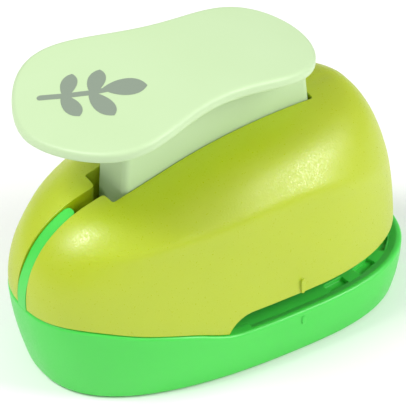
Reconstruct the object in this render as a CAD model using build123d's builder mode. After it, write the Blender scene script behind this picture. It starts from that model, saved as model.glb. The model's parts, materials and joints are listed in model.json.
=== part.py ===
"""Thumb-lever craft punch: a two-part moulded case, a steel die set and an arched thumb lever.

Frame: +Z up, +X towards the paper mouth, -X towards the thumb end, Y across. The origin is the
centre of the case on the surface it stands on. Millimetres.
"""

import os
from math import atan2, cos, degrees, pi, radians, sin, sqrt

from build123d import *

os.makedirs("parts", exist_ok=True)

# ---- case: driving dimensions ----
widest_x = 9.0
widest_z = 21.3
tail_taper, taper_power = 4.3, 1.65
tray_tail, tray_front, tray_half = 43.1, 43.1, 24.0
tray_exponents = (2.4, 2.75)
dome_tail, dome_front, dome_half = 42.93, 42.1, 23.45
dome_exponents = (2.42, 2.4)
wall = 2.2
floor = 2.0
seam_x, seam_z = -4.5, 11.4
seam_rise = [(-14.2, 13.9), (-26.5, 16.9), (-33.5, 18.65), (-38.8, 19.3), (-46.0, 18.8)]
seam_gap = 0.2
mouth_top_x, mouth_height, mouth_radius = -2.6, 4.5, 5.8
deck_z, deck_thickness = 10.8, 1.6
dome_z = 12.0
ridge_tail_x, ridge_front_x = -22.8, 30.7
middle_half = 0.5
ridge_peak_x, ridge_peak_z, ridge_radius = 17.5, 48.05, 108.5
meridian_tail, meridian_front, meridian_side = 2.08, 1.98, 3.54
# the shoulder between side wall and crown: its turn up the profile, swell and crown curve
shoulder_turn_side, shoulder_turn_front = 39.0, 30.0
shoulder_sharpness, shoulder_swell, wall_power = 0.82, 1.019, 1.3
crown_tail, crown_side = 1.72, 3.3
slot_tail_x, slot_front_x, slot_half = -24.5, 23.05, 5.3
slit_half = 1.65
slot_rib, slot_rib_z = 1.3, 32.0
spine_half, spine_end_turn = 1.5, 1.165
spine_flush, spine_sunk, spine_corner = -0.05, 0.45, 1.3
boss_split_z = 13.0
boss_places = [(-31.0, 9.0), (-31.0, -9.0), (-19.0, 15.8), (-19.0, -15.8)]

# ---- tray ----
tray_wall = 2.5
tray_levels = [0.0, 3.0, 7.0, 12.0, 16.5, 21.5]
tray_front_draft, tray_draft_z = 2.1, 12.0
tray_side_draft = 1.4
foot_radius = 1.3
rim_radius = 0.7
window_angles = [110, 125, 142]
window_length, window_width, window_depth, window_inset = 5.0, 2.3, 0.9, 3.9

# ---- pivot place ----
pivot_x, pivot_z = 26.0, 38.0

# ---- die set ----
die_x = widest_x
plate_back_x, plate_front_x, plate_half = -13.0, 30.0, 15.5
die_top_z, die_thickness = 10.8, 2.4
paper_gap = 1.2
guide_thickness = 3.6
spacer_length = 5.4
blade_clearance = 0.12
rivet_places = [(-10.3, 10.5), (-10.3, -10.5)]
post_radius, post_y, post_top_z = 2.0, 12.6, 36.6
die_bottom_z = die_top_z - die_thickness
guide_bottom_z = die_top_z + paper_gap
guide_top_z = guide_bottom_z + guide_thickness

# ---- ram and blade at rest ----
ram_bottom_z, ram_top_z = 24.6, 34.15
ram_back_x, ram_front_x, ram_half = -3.0, 20.5, 9.0
blade_tip_z = 12.4
flange_thickness = 1.8

die_screw_places = [(-6.0, 12.6), (-6.0, -12.6), (26.0, 12.6), (26.0, -12.6)]
bracket_screw_places = [(pivot_x, 10.0), (pivot_x, -10.0)]
punch_screw_places = [(0.2, -4.5), (17.8, 4.5)]
bracket_length, bracket_foot = 8.4, 13.0
washer_thickness = 0.6
spring_radius, spring_wire, spring_turns = 2.75, 0.33, 5
post_clearance = 0.06
pin_clearance = 0.04
bush_radius = 2.9
lever_screw_xs = [12.5, 18.5]
head_recess = 3.2

# ---- lever ----
pin_radius = 2.0
roller_x, roller_z, roller_radius = 9.2, 36.9, 2.6
roller_pin_radius = 1.2
arm_half, arm_sheet = 3.5, 1.2
arm_top_z = 42.5
bracket_inner, bracket_sheet = 4.6, 1.4
cap_tail_x, cap_length, cap_thickness = -41.24, 65.15, 2.6
cap_tail_z, cap_middle_z, cap_front_z = 62.04, 65.07, 60.63
stem_half, stem_wall, stem_corner = 5.0, 1.4, 1.4
stem_tail_top, stem_tail_foot = -20.4, -22.2
stem_front_top, stem_front_foot = 20.6, 23.1
print_thickness = 0.12

# ---- leaf sprig in its printed place, in plan ----
sprig_centre = (-24.6, 0.6)
sprig_stem = [(-33.7, 6.2), (-29.8, 3.6), (-25.0, 1.0), (-21.6, -0.2)]
sprig_stem_half = 0.72
# each leaf: base point, tip point, half width
sprig_leaves = [
    ((-30.1, 3.0), (-25.1, 8.4), 1.65),
    ((-30.0, 4.3), (-30.6, -3.5), 1.75),
    ((-25.4, 0.4), (-20.0, 6.2), 1.8),
    ((-25.3, 1.6), (-25.2, -7.6), 2.0),
    ((-22.9, 0.8), (-15.0, -3.4), 2.7),
]


def superellipse_radius(angle, exponent):
    """Distance from the centre to the unit superellipse in the direction of the angle."""
    return (abs(cos(angle)) ** exponent + abs(sin(angle)) ** exponent) ** (-1 / exponent)


def outline_point(angle, tail, front, half, exponents):
    """Point of the case's plan outline: angle 0 is the tail, a quarter turn the -Y side."""
    towards_tail = cos(angle) > 0
    exponent = exponents[0] if towards_tail else exponents[1]
    reach = tail + widest_x if towards_tail else front - widest_x
    radius = superellipse_radius(angle, exponent)
    return (widest_x - reach * radius * cos(angle), -half * radius * sin(angle))


def outline_points(tail, front, half, exponents, count=40):
    """Evenly spread points all round the plan outline."""
    angles = [2 * pi * (i + 0.5) / count for i in range(count)]
    return [outline_point(a, tail, front, half, exponents) for a in angles]


def ridge_z(x, inset=0.0):
    """Height of the dome's ridge line, an arc in the plane y = 0."""
    drop = ridge_radius - sqrt(ridge_radius**2 - (x - ridge_peak_x) ** 2)
    return ridge_peak_z - inset - drop


def fade(value, start, end):
    """Smooth step from 0 at start to 1 at end."""
    share = min(max((value - start) / (end - start), 0), 1)
    return share * share * (3 - 2 * share)


def tail_lean(z):
    """How far the case's tail stands in from its widest reach at height z."""
    return tail_taper * max(1 - z / widest_z, 0) ** taper_power


def dome_meridian(angle, inset):
    """Ridge point, widest height and exponent of the dome's upright profile in one direction."""
    tail, front, half = dome_tail - inset, dome_front - inset, dome_half - inset
    foot = outline_point(angle, tail, front, half, dome_exponents)
    share = (foot[0] + tail) / (tail + front)
    ridge_x = ridge_tail_x + (ridge_front_x - ridge_tail_x) * share
    towards_tail = max(cos(angle), 0) ** 2
    towards_front = max(-cos(angle), 0) ** 2
    exponent = meridian_side
    exponent += (meridian_tail - meridian_side) * towards_tail
    exponent += (meridian_front - meridian_side) * towards_front
    widest = dome_z + (widest_z - dome_z) * towards_tail
    return foot, (ridge_x, ridge_z(ridge_x, inset)), widest, exponent


def wall_reach(angle, inset, z, ridge_x):
    """Distance from the ridge point to the case's wall at height z, below the widest height."""
    tail, front, half = dome_tail - inset - tail_lean(z), dome_front - inset, dome_half - inset
    x, y = outline_point(angle, tail, front, half, dome_exponents)
    return sqrt((x - ridge_x) ** 2 + y**2)


def dome_profile(angle, inset, skirt):
    """The dome's upright profile from its skirt to the ridge: distances out and heights."""
    foot, ridge, widest, exponent = dome_meridian(angle, inset)
    bearing = degrees(angle)
    reach = sqrt((foot[0] - ridge[0]) ** 2 + foot[1] ** 2)
    rise = ridge[1] - widest
    to_front = min(max((bearing - 95) / 55, 0), 1)
    shoulder = radians(shoulder_turn_side + (shoulder_turn_front - shoulder_turn_side) * to_front)
    sharpness = shoulder_sharpness * fade(bearing, 20, 65) * (1 - 0.9 * fade(bearing, 115, 160))
    crown_power = crown_tail + (crown_side - crown_tail) * fade(bearing, 45, 85)
    radius = superellipse_radius(shoulder, exponent) * shoulder_swell
    edge_out, edge_up = radius * cos(shoulder), radius * sin(shoulder)
    points = []
    for share in (0, 0.5):
        z = dome_z - skirt + (widest - dome_z + skirt) * share
        points.append((wall_reach(angle, inset, z, ridge[0]), z))
    turns = [shoulder * share for share in (0, 0.33, 0.66, 0.88, 1)]
    turns += [shoulder + (pi / 2 - shoulder) * share for share in (0.1, 0.27, 0.5, 0.75, 1)]
    for turn in turns:
        radius = superellipse_radius(turn, exponent)
        out, up = radius * cos(turn), radius * sin(turn)
        if turn <= shoulder:
            sharp_up = up * shoulder_swell
            sharp_out = 1 - (1 - edge_out) * (sharp_up / edge_up) ** wall_power
        else:
            sharp_out = max(out, 0) * shoulder_swell
            sharp_up = 1 - (1 - edge_up) * (sharp_out / edge_out) ** crown_power
        out += (sharp_out - out) * sharpness
        up += (sharp_up - up) * sharpness
        points.append((reach * out, widest + rise * up))
    return points


def dome(inset, skirt, sections=21):
    """The dome as a closed body, lofted from its upright profiles, then mirrored."""
    with BuildPart() as half_dome:
        for i in range(sections):
            angle = pi * i / (sections - 1)
            foot, ridge, _, _ = dome_meridian(angle, inset)
            out = (foot[0] - ridge[0], foot[1], 0)
            plane = Plane(origin=(ridge[0], 0, 0), x_dir=out, z_dir=(foot[1], ridge[0] - foot[0], 0))
            profile = dome_profile(angle, inset, skirt)
            with BuildSketch(plane):
                with BuildLine():
                    Spline(*profile)
                    Polyline(profile[-1], (0, profile[0][1]), profile[0])
                make_face()
        loft()
        with BuildSketch(Plane.XZ.offset(middle_half)):
            Rectangle(200, 200)
        extrude(amount=60, mode=Mode.INTERSECT)
        middle = half_dome.faces().sort_by(Axis.Y)[-1]
        extrude(to_extrude=middle, amount=middle_half, dir=(0, 1, 0))
        mirror(about=Plane.XZ)
    return half_dome.part


outer_dome = dome(0.0, skirt=1.5)
inner_dome = dome(wall, skirt=2.5, sections=15)


def write(part, label):
    """Label a finished piece and write its STEP file."""
    part.label = label
    export_step(part, f"parts/{label}.step")


def above_seam(lift):
    """Everything above the joint line of tray and housing, lifted by a small amount."""
    with BuildPart() as block:
        with BuildSketch(Plane.XZ):
            with BuildLine():
                Line((60, seam_z + lift), (seam_x, seam_z + lift))
                tail_run = [(x, z + lift) for x, z in [(seam_x, seam_z)] + seam_rise]
                Spline(*tail_run, tangents=[(-1, 0), (-1, -0.1)])
                Polyline(tail_run[-1], (tail_run[-1][0], 80), (60, 80), (60, seam_z + lift))
            make_face()
        extrude(amount=40, both=True)
    return block.part


def sprig(grow=0.0):
    """The leaf sprig as a sketch in its printed place, its edges moved out by grow."""
    with BuildSketch() as shape:
        for start, end in zip(sprig_stem, sprig_stem[1:]):
            run = Vector(*end) - Vector(*start)
            turn = degrees(atan2(run.Y, run.X))
            with Locations((Vector(*start) + Vector(*end)) / 2):
                SlotCenterToCenter(run.length, 2 * (sprig_stem_half + grow), rotation=turn)
        for base, tip, half_width in sprig_leaves:
            along = (Vector(*tip) - Vector(*base)).normalized()
            across = Vector(-along.Y, along.X)
            length = (Vector(*tip) - Vector(*base)).length
            foot = Vector(*base) - along * grow
            end = Vector(*tip) + along * grow
            with BuildLine():
                for side in (1, -1):
                    near = Vector(*base) + along * 0.25 * length + across * side * (half_width + grow)
                    far = Vector(*base) + along * 0.8 * length + across * side * (1.6 * half_width + grow)
                    Bezier(foot, near, far, end)
            make_face()
    return shape.sketch


def at_die(sketch, z):
    """A sprig sketch moved from its printed place to the die centre, at height z."""
    return sketch.moved(Location((die_x - sprig_centre[0], -sprig_centre[1], z)))


def screw(head_radius, head_height, shank_radius, length):
    """A pan-head screw with a cross recess: head top at z = 0, shank pointing down."""
    with BuildPart() as body:
        with BuildSketch(Plane.XY.offset(-head_height)):
            Circle(head_radius)
        extrude(amount=head_height)
        fillet(body.faces().sort_by(Axis.Z)[-1].edges(), 0.3 * head_height)
        with BuildSketch(Plane.XY.offset(-head_height)):
            Circle(shank_radius)
        extrude(amount=-length)
        chamfer(body.faces().sort_by(Axis.Z)[0].edges(), 0.4 * shank_radius)
        with BuildSketch():
            Rectangle(1.2 * head_radius, 0.28 * head_radius)
            Rectangle(0.28 * head_radius, 1.2 * head_radius)
        extrude(amount=-0.45 * head_height, mode=Mode.SUBTRACT)
    return body.part


def countersunk_screw(head_radius, shank_radius, length):
    """A countersunk screw: head top at z = 0, shank pointing down."""
    with BuildPart() as body:
        Cone(shank_radius, head_radius, head_radius - shank_radius,
             align=(Align.CENTER, Align.CENTER, Align.MAX))
        Cylinder(shank_radius, length, align=(Align.CENTER, Align.CENTER, Align.MAX))
        with BuildSketch():
            Rectangle(1.2 * head_radius, 0.28 * head_radius)
            Rectangle(0.28 * head_radius, 1.2 * head_radius)
        extrude(amount=-0.6, mode=Mode.SUBTRACT)
    return body.part


# ---- upper housing ----
with BuildPart() as upper_housing:
    add(outer_dome)
    add(inner_dome, mode=Mode.SUBTRACT)
    add(above_seam(seam_gap), mode=Mode.INTERSECT)
    for x, y in boss_places:
        with BuildSketch(Plane.XY.offset(boss_split_z + 0.1)):
            with Locations((x, y)):
                Circle(3.0)
        extrude(amount=30)
    # ribs that deepen the edges of the slit and of the slot's tail end
    with BuildSketch(Plane.XY.offset(slot_rib_z)):
        with Locations((slot_tail_x - 4.5, 0)):
            Rectangle(12, 2 * (slit_half + slot_rib))
        with Locations((slot_tail_x + 3, 0)):
            Rectangle(6 + 2 * slot_rib, 2 * (slot_half + slot_rib))
    extrude(amount=30)
    add(outer_dome, mode=Mode.INTERSECT)
    with Locations(*[(x, y, boss_split_z) for x, y in boss_places]):
        Cylinder(1.1, 9, align=(Align.CENTER, Align.CENTER, Align.MIN), mode=Mode.SUBTRACT)
    # lever slot with the tail slit that opens into it
    with BuildSketch(Plane.XY.offset(30)) as slot_plan:
        with BuildLine():
            Polyline(
                (-60, slit_half), (slot_tail_x, slit_half), (slot_tail_x, slot_half),
                (slot_front_x, slot_half), (slot_front_x, -slot_half), (slot_tail_x, -slot_half),
                (slot_tail_x, -slit_half), (-60, -slit_half), close=True,
            )
        make_face()
        fillet(slot_plan.vertices().filter_by(lambda v: v.X > -50), 0.6)
    extrude(amount=30, mode=Mode.SUBTRACT)
    with BuildSketch(Plane.XY.offset(8)):
        with Locations((-45, 0)):
            Rectangle(34, 2 * slit_half)
    extrude(amount=30, mode=Mode.SUBTRACT)
    # paper mouth
    mouth_z = seam_z + mouth_height
    with BuildSketch(Plane.XZ):
        with BuildLine():
            CenterArc((mouth_top_x, mouth_z - mouth_radius), mouth_radius, 90, 90)
            Polyline(
                (mouth_top_x - mouth_radius, mouth_z - mouth_radius), (60, mouth_z - mouth_radius),
                (60, mouth_z), (mouth_top_x, mouth_z),
            )
        make_face()
    extrude(amount=40, both=True, mode=Mode.SUBTRACT)
    # centre marks beside the mouth
    for side in (1, -1):
        with BuildSketch(Plane.XZ.offset(side * (dome_half - 0.4))):
            with Locations((die_x, mouth_z + 1.7)):
                RectangleRounded(0.8, 3.4, 0.35)
        extrude(amount=side * 0.62)
write(upper_housing.part, "upper_housing")


# ---- base tray ----
def tray_outline(z, inset=0.0):
    """Plan outline of the tray at height z: the walls lean out towards the rim."""
    foot_share = max(1 - z / tray_draft_z, 0) ** 2
    return outline_points(
        tray_tail - tail_lean(z) - inset,
        tray_front - tray_front_draft * foot_share - inset,
        tray_half - tray_side_draft * foot_share - inset,
        tray_exponents,
    )


def tray_body(levels, inset):
    """Body lofted through the tray's outlines at the given heights."""
    with BuildPart() as body:
        for z in levels:
            with BuildSketch(Plane.XY.offset(z)):
                with BuildLine():
                    Spline(*tray_outline(z, inset), periodic=True)
                make_face()
        loft()
    return body.part


tray_outside = tray_body(tray_levels, 0.0)
tray_inside = tray_body([floor] + tray_levels[1:-1] + [tray_levels[-1] + 1], tray_wall)

# slope that leads paper from the rim down onto the deck
with BuildPart() as lead_in:
    for z, inset in ((deck_z, tray_wall), (seam_z + 0.1, rim_radius + 0.1)):
        with BuildSketch(Plane.XY.offset(z)):
            with BuildLine():
                Spline(*tray_outline(z, inset), periodic=True)
            make_face()
    loft()
    with Locations((mouth_top_x - 60, 0, seam_z)):
        Box(120, 80, 10, mode=Mode.SUBTRACT)

# spine that fills the slit at the tail, flush with the tray below and sunk a little at its end
spine_outer = []
spine_inner = []
for z in (14.5, 16.5, 18.5):
    for row, depth in ((spine_outer, 0.1), (spine_inner, wall)):
        row.append((tail_lean(z) + depth - tray_tail, z))
for i in range(8):
    turn = spine_end_turn * (i + 0.4) / 7.4
    radius = superellipse_radius(turn, meridian_tail)
    sink = spine_flush + (spine_sunk - spine_flush) * fade(turn, 0, 0.5)
    for row, depth in ((spine_outer, sink), (spine_inner, wall)):
        reach = dome_tail - depth + ridge_tail_x
        rise = ridge_z(ridge_tail_x) - depth - widest_z
        row.append((ridge_tail_x - reach * radius * cos(turn), widest_z + rise * radius * sin(turn)))
with BuildPart() as spine:
    with BuildSketch(Plane.XZ):
        with BuildLine():
            Spline(*spine_outer)
            Line(spine_outer[-1], spine_inner[-1])
            Spline(*reversed(spine_inner))
            Line(spine_inner[0], spine_outer[0])
        make_face()
    extrude(amount=spine_half, both=True)
    corners = spine.edges().filter_by(lambda e: e.length < 4 and abs(e.center().Y) > 1)
    fillet(corners.sort_by(Axis.Z)[-2:], spine_corner)

with BuildPart() as base_tray:
    add(tray_outside)
    fillet(base_tray.faces().sort_by(Axis.Z)[0].edges(), foot_radius)
    add(above_seam(0.0), mode=Mode.SUBTRACT)
    tops = base_tray.faces().filter_by(lambda f: f.center().Z > seam_z - 0.5 and f.normal_at().Z > 0.8)
    rim_edges = tops.edges().filter_by(lambda e: abs(e.center().Y) > 1 or abs(e.center().X) > 20)
    fillet(rim_edges, rim_radius)
    add(tray_inside, mode=Mode.SUBTRACT)
    add(lead_in.part, mode=Mode.SUBTRACT)
    # deck beside the die plate, with its row of shallow windows along the rim
    with BuildSketch(Plane.XY.offset(deck_z - deck_thickness)):
        with BuildLine():
            Spline(*tray_outline(deck_z, tray_wall - 0.5), periodic=True)
        make_face()
        with Locations((-60, 0)):
            Rectangle(2 * (60 + plate_back_x - 4), 60, mode=Mode.SUBTRACT)
        with Locations(((plate_back_x + plate_front_x) / 2, 0)):
            Rectangle(plate_front_x - plate_back_x + 0.4, 2 * plate_half + 0.4, mode=Mode.SUBTRACT)
    extrude(amount=deck_thickness)
    window_line = [reach - window_inset for reach in (tray_tail, tray_front, tray_half)]
    with BuildSketch(Plane.XY.offset(deck_z)):
        for angle in window_angles:
            for side in (1, -1):
                turn = side * angle * pi / 180
                place = outline_point(turn, *window_line, tray_exponents)
                ahead = outline_point(turn + 0.02, *window_line, tray_exponents)
                behind = outline_point(turn - 0.02, *window_line, tray_exponents)
                along = degrees(atan2(ahead[1] - behind[1], ahead[0] - behind[0]))
                with Locations(place):
                    RectangleRounded(window_length, window_width, 0.4, rotation=along)
    extrude(amount=-window_depth, mode=Mode.SUBTRACT)
    add(spine.part)
    # rails and posts that carry the die plate
    with BuildSketch(Plane.XY.offset(floor - 0.5)):
        with Locations(((plate_back_x + plate_front_x) / 2, plate_half - 2.5),
                       ((plate_back_x + plate_front_x) / 2, 2.5 - plate_half)):
            Rectangle(plate_front_x - plate_back_x - 3, 1.6)
        with Locations(*die_screw_places):
            Circle(3.0)
    extrude(amount=die_bottom_z - floor + 0.5)
    # posts under the housing's bosses, with their screw holes from below
    with BuildSketch(Plane.XY.offset(floor - 0.5)):
        with Locations(*boss_places):
            Circle(3.4)
    extrude(amount=boss_split_z - floor + 0.5)
    with Locations(*[(x, y, 0) for x, y in boss_places]):
        Cylinder(1.4, 30, mode=Mode.SUBTRACT)
        Cylinder(2.7, 2 * head_recess, mode=Mode.SUBTRACT)
    with Locations(*[(x, y, die_bottom_z) for x, y in die_screw_places]):
        Cylinder(1.0, 2 * (die_bottom_z - floor - 0.8), mode=Mode.SUBTRACT)
    # outlet for the punched pieces
    with BuildSketch():
        with Locations((die_x, 0)):
            RectangleRounded(24, 20, 3)
    extrude(amount=floor, mode=Mode.SUBTRACT)
    # centre marks on the wall, below the marks of the housing
    for side in (1, -1):
        with BuildSketch(Plane.XZ.offset(side * (tray_half - 0.5))):
            with Locations((die_x, seam_z - 2.3)):
                RectangleRounded(0.9, 2.0, 0.4)
        extrude(amount=side * 0.65)
write(base_tray.part, "base_tray")

# ---- die plate, spacer and guide plate ----
plate_length = plate_front_x - plate_back_x
plate_middle = (plate_front_x + plate_back_x) / 2
with BuildPart() as die_plate:
    with BuildSketch(Plane.XY.offset(die_bottom_z)):
        with Locations((plate_middle, 0)):
            RectangleRounded(plate_length, 2 * plate_half, 2)
    extrude(amount=die_thickness)
    with BuildSketch(Plane.XY.offset(die_bottom_z)):
        add(at_die(sprig(blade_clearance), die_bottom_z))
    extrude(amount=die_thickness, mode=Mode.SUBTRACT)
    with Locations(*[(x, y, die_bottom_z) for x, y in rivet_places]):
        Cylinder(1.55, 4 * die_thickness, mode=Mode.SUBTRACT)
    with Locations(*[(x, y, die_top_z) for x, y in die_screw_places]):
        CounterSinkHole(1.3, 2.5, counter_sink_angle=90)
write(die_plate.part, "die_plate")

with BuildPart() as throat_spacer:
    with BuildSketch(Plane.XY.offset(die_top_z)):
        with Locations((plate_back_x + spacer_length / 2, 0)):
            Rectangle(spacer_length, 2 * plate_half)
        with Locations(*rivet_places):
            Circle(1.55, mode=Mode.SUBTRACT)
    extrude(amount=paper_gap)
write(throat_spacer.part, "throat_spacer")

with BuildPart() as guide_plate:
    with BuildSketch(Plane.XY.offset(guide_bottom_z)):
        with Locations((plate_middle, 0)):
            RectangleRounded(plate_length, 2 * plate_half, 2)
    extrude(amount=guide_thickness)
    with BuildSketch(Plane.XY.offset(guide_bottom_z)):
        add(at_die(sprig(blade_clearance), guide_bottom_z))
    extrude(amount=guide_thickness, mode=Mode.SUBTRACT)
    with Locations(*[(x, y, guide_top_z) for x, y in rivet_places]):
        Cylinder(1.55, 4 * guide_thickness, mode=Mode.SUBTRACT)
    with Locations((die_x, post_y, guide_top_z), (die_x, -post_y, guide_top_z)):
        Cylinder(post_radius, 4 * guide_thickness, mode=Mode.SUBTRACT)
    with Locations(*[(x, y, guide_top_z) for x, y in bracket_screw_places]):
        Cylinder(1.0, 2 * (guide_thickness - 0.6), mode=Mode.SUBTRACT)
write(guide_plate.part, "guide_plate")

with BuildPart() as plate_rivets:
    for x, y in rivet_places:
        with BuildSketch(Plane(origin=(x, y, die_bottom_z))):
            Circle(1.5)
        extrude(amount=guide_top_z - die_bottom_z)
        with BuildSketch(Plane(origin=(x, y, guide_top_z))):
            Circle(2.6)
        extrude(amount=1.1, taper=20)
write(plate_rivets.part, "plate_rivets")

with BuildPart() as die_screws:
    with Locations(*[(x, y, die_top_z - 0.05) for x, y in die_screw_places]):
        add(countersunk_screw(2.3, 0.95, 5.0))
write(die_screws.part, "die_screws")

# ---- guide posts, springs and stop collars ----
post_places = [(die_x, post_y), (die_x, -post_y)]
with BuildPart() as guide_posts:
    for x, y in post_places:
        with BuildSketch(Plane(origin=(x, y, guide_bottom_z))):
            Circle(post_radius)
        extrude(amount=post_top_z - guide_bottom_z)
    chamfer(guide_posts.edges().group_by(Axis.Z)[-1], 0.4)
write(guide_posts.part, "guide_posts")

with BuildPart() as post_washers:
    for x, y in post_places:
        with BuildSketch(Plane(origin=(x, y, guide_top_z))):
            Circle(spring_radius + 0.6)
            Circle(post_radius + 0.1, mode=Mode.SUBTRACT)
        extrude(amount=washer_thickness)
write(post_washers.part, "post_washers")

with BuildPart() as post_caps:
    for x, y in post_places:
        with BuildSketch(Plane(origin=(x, y, ram_top_z + 0.3))):
            Circle(3.3)
            Circle(post_radius, mode=Mode.SUBTRACT)
        extrude(amount=1.5)
write(post_caps.part, "post_caps")


def return_spring(y):
    """Compression spring round the post at y, from its washer up to the ram."""
    low = guide_top_z + washer_thickness + spring_wire
    high = ram_bottom_z - spring_wire
    height = high - low
    with BuildPart() as body:
        with BuildLine(Plane(origin=(die_x, y, low))) as coil:
            Helix(pitch=height / spring_turns, height=height, radius=spring_radius)
        with BuildSketch(Plane(origin=coil.line @ 0, z_dir=coil.line % 0)):
            Circle(spring_wire)
        sweep(is_frenet=True)
    return body.part


write(return_spring(post_y), "left_return_spring")
write(return_spring(-post_y), "right_return_spring")

# ---- ram and blade ----
with BuildPart() as punch_ram:
    with BuildSketch(Plane.XY.offset(ram_bottom_z)):
        with Locations(((ram_back_x + ram_front_x) / 2, 0)):
            RectangleRounded(ram_front_x - ram_back_x, 2 * ram_half, 2)
        with Locations((die_x, 0)):
            SlotCenterToCenter(2 * post_y, 7.6, rotation=90)
    extrude(amount=ram_top_z - ram_bottom_z)
    chamfer(punch_ram.faces().sort_by(Axis.Z)[-1].edges(), 0.5)
    with Locations((die_x, post_y, ram_top_z), (die_x, -post_y, ram_top_z)):
        Cylinder(post_radius + post_clearance, 60, mode=Mode.SUBTRACT)
    with Locations(*[(x, y, ram_top_z) for x, y in punch_screw_places]):
        CounterBoreHole(1.25, 2.4, 2.0)
write(punch_ram.part, "punch_ram")

flange_z = ram_bottom_z - flange_thickness
with BuildPart() as sprig_punch:
    with BuildSketch(Plane.XY.offset(flange_z)):
        with Locations(((ram_back_x + ram_front_x) / 2, 0)):
            RectangleRounded(ram_front_x - ram_back_x - 1.5, 2 * ram_half - 1.2, 2)
        with Locations(*punch_screw_places):
            Circle(1.0, mode=Mode.SUBTRACT)
    extrude(amount=flange_thickness)
    with BuildSketch(Plane.XY.offset(blade_tip_z)):
        add(at_die(sprig(), blade_tip_z))
    extrude(amount=flange_z - blade_tip_z)
write(sprig_punch.part, "sprig_punch")

with BuildPart() as punch_screws:
    with Locations(*[(x, y, ram_top_z - 0.3) for x, y in punch_screw_places]):
        add(screw(2.1, 1.6, 0.95, ram_top_z - 0.3 - 1.6 - flange_z - 0.2))
write(punch_screws.part, "punch_screws")

# ---- pivot ----
with BuildPart() as pivot_bracket:
    with BuildSketch(Plane.XY.offset(guide_top_z)):
        with Locations((pivot_x, 0)):
            Rectangle(bracket_length, 2 * bracket_foot)
        with Locations(*bracket_screw_places):
            Circle(1.25, mode=Mode.SUBTRACT)
    extrude(amount=bracket_sheet)
    for side in (1, -1):
        with BuildSketch(Plane.XZ.offset(side * (bracket_inner + bracket_sheet / 2))):
            with Locations((pivot_x, pivot_z)):
                Circle(4.2)
            with Locations((pivot_x, (guide_top_z + pivot_z) / 2)):
                Rectangle(8.4, pivot_z - guide_top_z)
            with Locations((pivot_x, pivot_z)):
                Circle(pin_radius, mode=Mode.SUBTRACT)
        extrude(amount=bracket_sheet / 2, both=True)
write(pivot_bracket.part, "pivot_bracket")

with BuildPart() as bracket_screws:
    with Locations(*[(x, y, guide_top_z + bracket_sheet + 1.5) for x, y in bracket_screw_places]):
        add(screw(2.1, 1.5, 0.95, bracket_sheet + guide_thickness - 1.0))
write(bracket_screws.part, "bracket_screws")

pin_half = bracket_inner + bracket_sheet + 1.6
with BuildPart() as pivot_pin:
    with BuildSketch(Plane.XZ):
        with Locations((pivot_x, pivot_z)):
            Circle(pin_radius)
    extrude(amount=pin_half, both=True)
    for side in (1, -1):
        with BuildSketch(Plane.XZ.offset(side * (pin_half - 0.9))):
            with Locations((pivot_x, pivot_z)):
                Circle(pin_radius + 1)
                Circle(pin_radius - 0.5, mode=Mode.SUBTRACT)
        extrude(amount=0.35, both=True, mode=Mode.SUBTRACT)
    chamfer(pivot_pin.edges().filter_by(GeomType.CIRCLE).group_by(Axis.Y)[0], 0.3)
    chamfer(pivot_pin.edges().filter_by(GeomType.CIRCLE).group_by(Axis.Y)[-1], 0.3)
write(pivot_pin.part, "pivot_pin")

with BuildPart() as pivot_clips:
    for side in (1, -1):
        with BuildSketch(Plane.XZ.offset(side * (pin_half - 0.9))):
            with Locations((pivot_x, pivot_z)):
                Circle(3.2)
                Circle(pin_radius - 0.5, mode=Mode.SUBTRACT)
            with Locations((pivot_x, pivot_z - 2.5)):
                Rectangle(2.2, 4, mode=Mode.SUBTRACT)
        extrude(amount=0.3, both=True)
write(pivot_clips.part, "pivot_clips")

# ---- press arm, roller and bushes ----
with BuildPart() as press_arm:
    with BuildSketch(Plane.XZ):
        with BuildLine():
            Polyline(
                (roller_x - 2.6, arm_top_z), (pivot_x - 5, arm_top_z), (pivot_x, pivot_z + 3.6),
                (pivot_x, pivot_z - 2.8), (roller_x, roller_z - 1.9), (roller_x - 2.1, roller_z),
                close=True,
            )
        make_face()
        with Locations((pivot_x, pivot_z)):
            Circle(3.6)
        with Locations((roller_x, roller_z)):
            Circle(2.1)
    extrude(amount=arm_half, both=True)
    # the channel is open below its web
    with BuildSketch(Plane.XZ):
        with BuildLine():
            Polyline((-5, arm_top_z - arm_sheet), (pivot_x - 4.6, arm_top_z - arm_sheet),
                     (pivot_x - 4.6, 60), (60, 60), (60, 0), (-5, 0), close=True)
        make_face()
    extrude(amount=arm_half - arm_sheet, both=True, mode=Mode.SUBTRACT)
    with Locations(Location((pivot_x, 0, pivot_z), (90, 0, 0))):
        Cylinder(bush_radius, 20, mode=Mode.SUBTRACT)
    with Locations(Location((roller_x, 0, roller_z), (90, 0, 0))):
        Cylinder(roller_pin_radius, 20, mode=Mode.SUBTRACT)
    with Locations(*[(x, 0, arm_top_z) for x in lever_screw_xs]):
        Cylinder(1.25, 6, mode=Mode.SUBTRACT)
write(press_arm.part, "press_arm")

with BuildPart() as arm_bushes:
    for side in (1, -1):
        with BuildSketch(Plane.XZ.offset(side * (arm_half - arm_sheet / 2))):
            with Locations((pivot_x, pivot_z)):
                Circle(bush_radius)
        extrude(amount=arm_sheet / 2, both=True)
        with BuildSketch(Plane.XZ.offset(side * (arm_half + 0.4))):
            with Locations((pivot_x, pivot_z)):
                Circle(3.5)
        extrude(amount=0.4, both=True)
    with Locations(Location((pivot_x, 0, pivot_z), (90, 0, 0))):
        Cylinder(pin_radius + pin_clearance, 20, mode=Mode.SUBTRACT)
write(arm_bushes.part, "arm_bushes")

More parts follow.
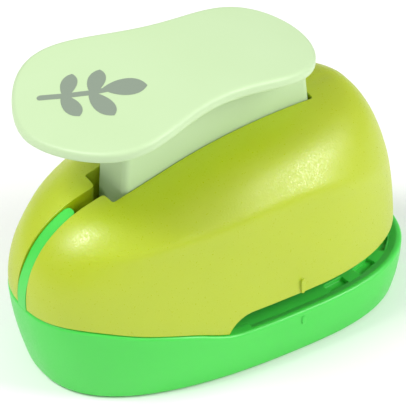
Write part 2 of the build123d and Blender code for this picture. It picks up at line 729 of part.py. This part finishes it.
with BuildPart() as press_roller:
    with BuildSketch(Plane.XZ):
        with Locations((roller_x, roller_z)):
            Circle(roller_radius)
            Circle(roller_pin_radius + 0.05, mode=Mode.SUBTRACT)
    extrude(amount=arm_half - arm_sheet - 0.3, both=True)
    chamfer(press_roller.edges().group_by(Axis.Y)[0], 0.2)
    chamfer(press_roller.edges().group_by(Axis.Y)[-1], 0.2)
write(press_roller.part, "press_roller")

with BuildPart() as roller_pin:
    with BuildSketch(Plane.XZ):
        with Locations((roller_x, roller_z)):
            Circle(roller_pin_radius)
    extrude(amount=arm_half, both=True)
write(roller_pin.part, "roller_pin")

# ---- thumb lever ----
cap_middle = (cap_tail_x + cap_length / 2, cap_middle_z)
cap_front = (cap_tail_x + cap_length, cap_front_z)


def cap_half_width(share):
    """Half width of the thumb plate, share running from -1 at its tail to 1 at its front."""
    return 15.08 - 8.0 * share + 20.16 * share**2 + 8.98 * share**3 - 13.51 * share**4


def cap_outline(count=40):
    """Points round the thumb plate's outline: a wide thumb lobe, a waist and a front lobe."""
    points = []
    for i in range(count):
        angle = 2 * pi * (i + 0.5) / count
        share = -cos(angle)
        x = cap_tail_x + cap_length / 2 * (1 + share)
        points.append((x, -sin(angle) * cap_half_width(share)))
    return points


def cap_slab(top_lift, bottom_lift, reach=2.0):
    """Arched slab between two arcs that lie at the given heights from the plate's top."""
    slope_tail = (cap_middle_z - cap_tail_z) / (cap_length / 2) * 2 * reach
    slope_front = (cap_middle_z - cap_front_z) / (cap_length / 2) * 2 * reach
    tail_end = (cap_tail_x - reach, cap_tail_z - slope_tail)
    front_end = (cap_front[0] + reach, cap_front_z - slope_front)
    with BuildPart() as slab:
        with BuildSketch(Plane.XZ):
            with BuildLine():
                ThreePointArc(
                    (tail_end[0], tail_end[1] + top_lift),
                    (cap_middle[0], cap_middle[1] + top_lift),
                    (front_end[0], front_end[1] + top_lift),
                )
                Line((front_end[0], front_end[1] + top_lift), (front_end[0], front_end[1] + bottom_lift))
                ThreePointArc(
                    (front_end[0], front_end[1] + bottom_lift),
                    (cap_middle[0], cap_middle[1] + bottom_lift),
                    (tail_end[0], tail_end[1] + bottom_lift),
                )
                Line((tail_end[0], tail_end[1] + bottom_lift), (tail_end[0], tail_end[1] + top_lift))
            make_face()
        extrude(amount=30, both=True)
    return slab.part


with BuildPart() as print_shape:
    with BuildSketch(Plane.XY.offset(50)):
        add(sprig().moved(Location((0, 0, 50))))
    extrude(amount=30)
    add(cap_slab(0.03, 0.03 - print_thickness), mode=Mode.INTERSECT)
write(print_shape.part, "leaf_print")


def stem_block(inset, half, low):
    """The lever's stem: its side outline, moved in by inset, and as wide as twice half."""
    with BuildPart() as block:
        with BuildSketch(Plane.XZ):
            with BuildLine():
                Polyline(
                    (stem_tail_top + inset, 66), (stem_tail_foot + inset, 34 - low),
                    (-8, 38 - low), (stem_front_foot - 5, 41 - low), (stem_front_foot - inset, 43 - low),
                    (stem_front_top - inset, 66), close=True,
                )
            make_face()
        extrude(amount=half, both=True)
    return block.part


with BuildPart() as stem:
    add(stem_block(0, stem_half, 0))
    upright = stem.edges().filter_by(lambda e: e.length > 15 and abs((e % 0.5).Z) > 0.8)
    fillet(upright, stem_corner)
    add(stem_block(stem_wall, stem_half - stem_wall, 0.5), mode=Mode.SUBTRACT)
    with BuildSketch(Plane.XY.offset(arm_top_z + 0.02)):
        with Locations(*[(x, 0) for x in lever_screw_xs]):
            Circle(2.6)
            Rectangle(1.4, 2 * stem_half - 1)
    extrude(amount=20)
    with Locations(*[(x, 0, arm_top_z) for x in lever_screw_xs]):
        Cylinder(1.0, 16, mode=Mode.SUBTRACT)
    add(cap_slab(-1.0, -60), mode=Mode.INTERSECT)

with BuildPart() as thumb_lever:
    with BuildSketch(Plane.XY.offset(50)):
        with BuildLine():
            Spline(*cap_outline(), periodic=True)
        make_face()
    extrude(amount=30)
    add(cap_slab(0, -cap_thickness), mode=Mode.INTERSECT)
    fillet(thumb_lever.edges().filter_by(lambda e: e.length > 60), 0.95)
    add(stem.part)
    add(print_shape.part, mode=Mode.SUBTRACT)
write(thumb_lever.part, "thumb_lever")

with BuildPart() as lever_screws:
    for x in lever_screw_xs:
        place = Location((x, 0, arm_top_z - arm_sheet - 1.2))
        add(screw(1.9, 1.2, 0.9, 7.5).rotate(Axis.X, 180).moved(place))
write(lever_screws.part, "lever_screws")

with BuildPart() as housing_screws:
    for x, y in boss_places:
        place = Location((x, y, head_recess - 1.5))
        add(screw(2.4, 1.5, 1.0, 17).rotate(Axis.X, 180).moved(place))
write(housing_screws.part, "housing_screws")
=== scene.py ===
"""Craft punch: finishes, detail pieces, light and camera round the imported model. Metres."""

import json
import math

import bpy
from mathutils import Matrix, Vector


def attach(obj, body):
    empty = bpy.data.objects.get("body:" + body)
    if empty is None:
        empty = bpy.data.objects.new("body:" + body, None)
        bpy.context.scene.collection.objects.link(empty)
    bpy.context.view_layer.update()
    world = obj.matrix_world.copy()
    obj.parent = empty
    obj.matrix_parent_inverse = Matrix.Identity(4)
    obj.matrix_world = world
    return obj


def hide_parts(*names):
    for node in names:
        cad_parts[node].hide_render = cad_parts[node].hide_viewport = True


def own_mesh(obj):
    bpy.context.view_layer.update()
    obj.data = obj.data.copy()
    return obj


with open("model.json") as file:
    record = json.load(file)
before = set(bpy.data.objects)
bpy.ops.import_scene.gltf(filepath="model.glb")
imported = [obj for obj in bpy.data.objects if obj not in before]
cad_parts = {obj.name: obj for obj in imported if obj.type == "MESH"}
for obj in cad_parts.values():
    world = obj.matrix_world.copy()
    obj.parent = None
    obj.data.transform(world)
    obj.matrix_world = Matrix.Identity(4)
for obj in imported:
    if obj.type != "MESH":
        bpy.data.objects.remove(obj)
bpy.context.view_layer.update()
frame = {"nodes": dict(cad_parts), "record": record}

nodes = frame["nodes"]
MM = 0.001

# ---- colours, linear ----
LEMON_GREEN = (0.47, 0.57, 0.002, 1)
LEMON_GREEN_DEEP = (0.40, 0.50, 0.001, 1)
LEAF_GREEN = (0.070, 0.68, 0.080, 1)
LEAF_GREEN_DEEP = (0.042, 0.60, 0.055, 1)
MINT = (0.55, 0.71, 0.44, 1)
MINT_DEEP = (0.47, 0.64, 0.34, 1)
INK = (0.225, 0.28, 0.215, 1)
STEEL = (0.56, 0.57, 0.58, 1)
ZINC = (0.42, 0.43, 0.45, 1)
PLATED = (0.68, 0.68, 0.66, 1)
NYLON = (0.80, 0.78, 0.70, 1)


# ---- shader groups ----
def new_group(name, inputs, outputs):
    """A shader node group with float or colour sockets, and its two end nodes."""
    tree = bpy.data.node_groups.new(name, "ShaderNodeTree")
    for label, default in inputs:
        kind = "NodeSocketColor" if isinstance(default, tuple) else "NodeSocketFloat"
        socket = tree.interface.new_socket(label, in_out="INPUT", socket_type=kind)
        socket.default_value = default
    for label, kind in outputs:
        tree.interface.new_socket(label, in_out="OUTPUT", socket_type=kind)
    return tree, tree.nodes.new("NodeGroupInput"), tree.nodes.new("NodeGroupOutput")


def node(tree, kind, **values):
    """A node with its properties set, its sockets by name or number."""
    made = tree.nodes.new(kind)
    for key, value in values.items():
        if key.startswith("in_"):
            name = key[3:].replace("_", " ")
            made.inputs[int(name) if name.isdigit() else name].default_value = value
        else:
            setattr(made, key, value)
    return made


def moulded_grain_group():
    """Spark-eroded grain of a moulded surface: fine height, a sparkle mask and slow flow shade."""
    tree, start, end = new_group(
        "moulded_grain",
        [("Grain Size", 0.35), ("Flow Size", 18.0), ("Flow Amount", 0.5)],
        [("Height", "NodeSocketFloat"), ("Sparkle", "NodeSocketFloat"), ("Flow", "NodeSocketFloat")],
    )
    place = node(tree, "ShaderNodeTexCoord")
    invert = node(tree, "ShaderNodeMath", operation="DIVIDE", in_0=1000.0)
    tree.links.new(start.outputs["Grain Size"], invert.inputs[1])
    fine = node(tree, "ShaderNodeTexNoise", in_Detail=3.0, in_Roughness=0.6)
    tree.links.new(place.outputs["Object"], fine.inputs["Vector"])
    tree.links.new(invert.outputs[0], fine.inputs["Scale"])
    tree.links.new(fine.outputs["Fac"], end.inputs["Height"])
    sparkle = node(tree, "ShaderNodeMapRange", in_1=0.42, in_2=0.68)
    tree.links.new(fine.outputs["Fac"], sparkle.inputs[0])
    tree.links.new(sparkle.outputs[0], end.inputs["Sparkle"])
    slow = node(tree, "ShaderNodeMath", operation="DIVIDE", in_0=1000.0)
    tree.links.new(start.outputs["Flow Size"], slow.inputs[1])
    wide = node(tree, "ShaderNodeTexNoise", in_Detail=1.5, in_Roughness=0.4)
    tree.links.new(place.outputs["Object"], wide.inputs["Vector"])
    tree.links.new(slow.outputs[0], wide.inputs["Scale"])
    centred = node(tree, "ShaderNodeMath", operation="SUBTRACT", in_1=0.5)
    tree.links.new(wide.outputs["Fac"], centred.inputs[0])
    scaled = node(tree, "ShaderNodeMath", operation="MULTIPLY_ADD", in_2=0.5)
    tree.links.new(centred.outputs[0], scaled.inputs[0])
    tree.links.new(start.outputs["Flow Amount"], scaled.inputs[1])
    tree.links.new(scaled.outputs[0], end.inputs["Flow"])
    return tree


def brushed_group():
    """Fine parallel grinding lines along X, as a height and a shade mask."""
    tree, start, end = new_group(
        "brushed_lines",
        [("Line Size", 0.25), ("Stretch", 30.0)],
        [("Height", "NodeSocketFloat"), ("Shade", "NodeSocketFloat")],
    )
    place = node(tree, "ShaderNodeTexCoord")
    squeeze = node(tree, "ShaderNodeVectorMath", operation="MULTIPLY")
    across = node(tree, "ShaderNodeCombineXYZ", in_1=1.0, in_2=1.0)
    along = node(tree, "ShaderNodeMath", operation="DIVIDE", in_0=1.0)
    tree.links.new(start.outputs["Stretch"], along.inputs[1])
    tree.links.new(along.outputs[0], across.inputs[0])
    tree.links.new(place.outputs["Object"], squeeze.inputs[0])
    tree.links.new(across.outputs[0], squeeze.inputs[1])
    size = node(tree, "ShaderNodeMath", operation="DIVIDE", in_0=1000.0)
    tree.links.new(start.outputs["Line Size"], size.inputs[1])
    lines = node(tree, "ShaderNodeTexNoise", in_Detail=4.0, in_Roughness=0.7)
    tree.links.new(squeeze.outputs[0], lines.inputs["Vector"])
    tree.links.new(size.outputs[0], lines.inputs["Scale"])
    tree.links.new(lines.outputs["Fac"], end.inputs["Height"])
    shade = node(tree, "ShaderNodeMapRange", in_1=0.3, in_2=0.7)
    tree.links.new(lines.outputs["Fac"], shade.inputs[0])
    tree.links.new(shade.outputs[0], end.inputs["Shade"])
    return tree


GRAIN = moulded_grain_group()
BRUSHED = brushed_group()


def fresh_material(name):
    """An empty node material with its Principled shader and output."""
    material = bpy.data.materials.new(name)
    material.use_nodes = True
    tree = material.node_tree
    return material, tree, tree.nodes["Principled BSDF"]


def mix_colour(tree, first, second, factor=None):
    """A colour mix node: first where the factor is 0, second where it is 1."""
    mix = node(tree, "ShaderNodeMix", data_type="RGBA")
    mix.inputs["A"].default_value = first if isinstance(first, tuple) else (0, 0, 0, 1)
    mix.inputs["B"].default_value = second if isinstance(second, tuple) else (0, 0, 0, 1)
    if factor is not None:
        tree.links.new(factor, mix.inputs["Factor"])
    return mix


def moulded_plastic(
    name, light, deep, roughness, grain_size, grain_height, sheen_range,
    gloss=0.5, edge_radius=0.25, scatter=0.0,
):
    """Moulded plastic: two close shades, grain in relief and roughness, and soft edges. Sizes in mm."""
    material, tree, shader = fresh_material(name)
    grain = node(tree, "ShaderNodeGroup", node_tree=GRAIN, in_Grain_Size=grain_size)
    mix = mix_colour(tree, light, deep, grain.outputs["Flow"])
    tree.links.new(mix.outputs["Result"], shader.inputs["Base Color"])
    rough = node(tree, "ShaderNodeMapRange", in_3=roughness + sheen_range, in_4=roughness - sheen_range)
    tree.links.new(grain.outputs["Sparkle"], rough.inputs[0])
    tree.links.new(rough.outputs[0], shader.inputs["Roughness"])
    bump = node(tree, "ShaderNodeBump", in_Strength=1.0, in_Distance=grain_height * MM)
    soft_edge = node(tree, "ShaderNodeBevel", samples=6, in_Radius=edge_radius * MM)
    tree.links.new(soft_edge.outputs["Normal"], bump.inputs["Normal"])
    tree.links.new(grain.outputs["Height"], bump.inputs["Height"])
    tree.links.new(bump.outputs["Normal"], shader.inputs["Normal"])
    shader.inputs["Specular IOR Level"].default_value = gloss
    if scatter:
        shader.inputs["Subsurface Weight"].default_value = scatter
        shader.inputs["Subsurface Radius"].default_value = (0.6, 1.0, 0.3)
        shader.inputs["Subsurface Scale"].default_value = 1.2 * MM
    return material


def metal(name, colour, roughness, line_height, stretch=30.0):
    """Worked metal with fine lines in its relief and roughness, their height in mm."""
    material, tree, shader = fresh_material(name)
    lines = node(tree, "ShaderNodeGroup", node_tree=BRUSHED, in_Stretch=stretch)
    darker = tuple(0.75 * c for c in colour[:3]) + (1,)
    mix = mix_colour(tree, darker, colour, lines.outputs["Shade"])
    tree.links.new(mix.outputs["Result"], shader.inputs["Base Color"])
    shader.inputs["Metallic"].default_value = 1.0
    rough = node(tree, "ShaderNodeMapRange", in_3=roughness + 0.1, in_4=roughness - 0.08)
    tree.links.new(lines.outputs["Shade"], rough.inputs[0])
    tree.links.new(rough.outputs[0], shader.inputs["Roughness"])
    bump = node(tree, "ShaderNodeBump", in_Strength=1.0, in_Distance=line_height * MM)
    tree.links.new(lines.outputs["Height"], bump.inputs["Height"])
    tree.links.new(bump.outputs["Normal"], shader.inputs["Normal"])
    return material


# one finish for each material slot of the frame
FINISHES = {
    "housing_plastic": moulded_plastic(
        "housing_grain", LEMON_GREEN, LEMON_GREEN_DEEP, roughness=0.36, grain_size=0.42,
        grain_height=0.026, sheen_range=0.10, gloss=0.8, edge_radius=0.3, scatter=0.25),
    "tray_plastic": moulded_plastic(
        "tray_satin", LEAF_GREEN, LEAF_GREEN_DEEP, roughness=0.34, grain_size=0.5,
        grain_height=0.006, sheen_range=0.05, gloss=0.6, edge_radius=0.3, scatter=0.4),
    "lever_plastic": moulded_plastic(
        "lever_satin", MINT, MINT_DEEP, roughness=0.42, grain_size=0.4,
        grain_height=0.004, sheen_range=0.05, edge_radius=0.4),
    "print_ink": moulded_plastic(
        "print_ink", INK, INK, roughness=0.5, grain_size=0.3,
        grain_height=0.004, sheen_range=0.05, edge_radius=0.02),
    "nylon": moulded_plastic(
        "nylon", NYLON, NYLON, roughness=0.4, grain_size=0.5,
        grain_height=0.004, sheen_range=0.05),
    "ground_steel": metal("ground_steel", STEEL, roughness=0.30, line_height=0.004),
    "zinc_casting": metal("zinc_casting", ZINC, roughness=0.42, line_height=0.010, stretch=1.0),
    "plated_steel": metal("plated_steel", PLATED, roughness=0.22, line_height=0.002, stretch=4.0),
    "spring_steel": metal("spring_wire", STEEL, roughness=0.28, line_height=0.003),
}
for part in frame["record"]["subparts"]:
    shape = nodes[part["node"]]
    shape.data.materials.clear()
    shape.data.materials.append(FINISHES[part["material_slot"]])


# ---- return springs ----
SPRING_X, SPRING_Y = 9.0 * MM, 12.6 * MM
SPRING_LOW, SPRING_HIGH = 16.2 * MM, 24.6 * MM
COIL_RADIUS, WIRE_RADIUS = 2.75 * MM, 0.33 * MM
WIRE_SIDES, TURN_STEPS = 12, 28
FREE_TURNS = 4
CLOSED_PITCH = 2.1 * WIRE_RADIUS


def coil_run(low, pitch, turns):
    """Whole turns of wire at one pitch: a wire circle screwed up round the post."""
    bpy.ops.object.select_all(action="DESELECT")
    bpy.ops.mesh.primitive_circle_add(
        vertices=WIRE_SIDES, radius=WIRE_RADIUS,
        location=(COIL_RADIUS, 0, low), rotation=(math.pi / 2, 0, 0))
    run = bpy.context.object
    bpy.ops.object.transform_apply(location=True, rotation=True, scale=True)
    coil = run.modifiers.new("coil", "SCREW")
    coil.axis = "Z"
    coil.angle = 2 * math.pi
    coil.screw_offset = pitch
    coil.iterations = turns
    coil.steps = coil.render_steps = TURN_STEPS
    bpy.ops.object.modifier_apply(modifier=coil.name)
    return run


def coil_spring(name, side):
    """A compression spring round its post: free turns between two closed end turns."""
    first = SPRING_LOW + WIRE_RADIUS
    last = SPRING_HIGH - WIRE_RADIUS - CLOSED_PITCH
    free_pitch = (last - first - CLOSED_PITCH) / FREE_TURNS
    runs = [
        coil_run(first, CLOSED_PITCH, 1),
        coil_run(first + CLOSED_PITCH, free_pitch, FREE_TURNS),
        coil_run(last, CLOSED_PITCH, 1),
    ]
    bpy.ops.object.select_all(action="DESELECT")
    for run in runs:
        run.select_set(True)
    spring = runs[0]
    bpy.context.view_layer.objects.active = spring
    bpy.ops.object.join()
    spring.name = name
    bpy.ops.object.mode_set(mode="EDIT")
    bpy.ops.mesh.select_all(action="SELECT")
    bpy.ops.mesh.remove_doubles(threshold=0.001 * MM)
    bpy.ops.mesh.fill_holes(sides=WIRE_SIDES)
    bpy.ops.mesh.select_all(action="SELECT")
    bpy.ops.mesh.normals_make_consistent(inside=False)
    bpy.ops.transform.translate(value=(SPRING_X, side * SPRING_Y, 0))
    bpy.ops.object.mode_set(mode="OBJECT")
    bpy.ops.object.shade_smooth_by_angle(angle=math.radians(50))
    spring.data.materials.append(FINISHES["spring_steel"])
    return spring


for label, side in (("left", 1), ("right", -1)):
    spring = coil_spring(f"{label}_spring_coil", side)
    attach(spring, "root")
    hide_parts(f"{label}_return_spring")
    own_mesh(spring)


# ---- floor, light and camera ----
CASE_MIDDLE = Vector((0, 0, 30)) * MM
SURROUND_LIGHT = 0.48
FLOOR_SHADE = 0.93
VIEW_TURN, VIEW_RISE = math.radians(32.778), math.radians(38.01)
VIEW_DISTANCE = 901 * MM
VIEW_TARGET = Vector((0.144, 0, 27.145)) * MM
LENS, SENSOR = 393.75, 36
# each soft box: its direction from the case, its distance and side in metres, its share of the light
SOFT_BOXES = {
    "front_right_box": ((0.56, -0.60, 0.57), 0.7, 0.30, 0.62),
    "tail_box": ((-0.56, 0.14, 0.82), 0.7, 0.26, 0.66),
    "near_fill": ((-0.30, -0.80, 0.45), 0.9, 0.70, 0.08),
}


def studio_floor():
    """A wide pale floor under the case."""
    bpy.ops.object.select_all(action="DESELECT")
    bpy.ops.mesh.primitive_plane_add(size=6.0, location=(0, 0, 0))
    floor = bpy.context.object
    floor.name = "studio_floor"
    material, _, shader = fresh_material("studio_floor")
    shader.inputs["Base Color"].default_value = (FLOOR_SHADE, FLOOR_SHADE, FLOOR_SHADE, 1)
    shader.inputs["Roughness"].default_value = 0.8
    floor.data.materials.append(material)


def surround():
    """Even white light from all round."""
    world = bpy.data.worlds.new("studio")
    world.use_nodes = True
    background = world.node_tree.nodes["Background"]
    background.inputs["Color"].default_value = (1, 1, 1, 1)
    background.inputs["Strength"].default_value = SURROUND_LIGHT
    bpy.context.scene.world = world


def soft_box(name, direction, distance, side, share):
    """A square area light that faces the case from the given direction."""
    light = bpy.data.lights.new(name, "AREA")
    light.shape = "SQUARE"
    light.size = side
    light.energy = share * math.pi**2 * distance**2
    box = bpy.data.objects.new(name, light)
    bpy.context.collection.objects.link(box)
    away = Vector(direction).normalized()
    box.location = CASE_MIDDLE + away * distance
    box.rotation_euler = (-away).to_track_quat("-Z", "Y").to_euler()


def camera():
    """The camera: beside the thumb end, looking down on the punch through a long lens."""
    data = bpy.data.cameras.new("camera")
    data.sensor_width = SENSOR
    data.lens = LENS
    data.clip_start, data.clip_end = 0.01, 20
    eye = bpy.data.objects.new("camera", data)
    bpy.context.collection.objects.link(eye)
    back = Vector((
        -math.sin(VIEW_TURN) * math.cos(VIEW_RISE),
        -math.cos(VIEW_TURN) * math.cos(VIEW_RISE),
        math.sin(VIEW_RISE),
    ))
    eye.location = VIEW_TARGET + back * VIEW_DISTANCE
    eye.rotation_euler = (-back).to_track_quat("-Z", "Y").to_euler()
    bpy.context.scene.camera = eye


studio_floor()
surround()
for name, setting in SOFT_BOXES.items():
    soft_box(name, *setting)
camera()
bpy.context.scene.view_settings.view_transform = "Standard"
bpy.context.scene.view_settings.look = "None"
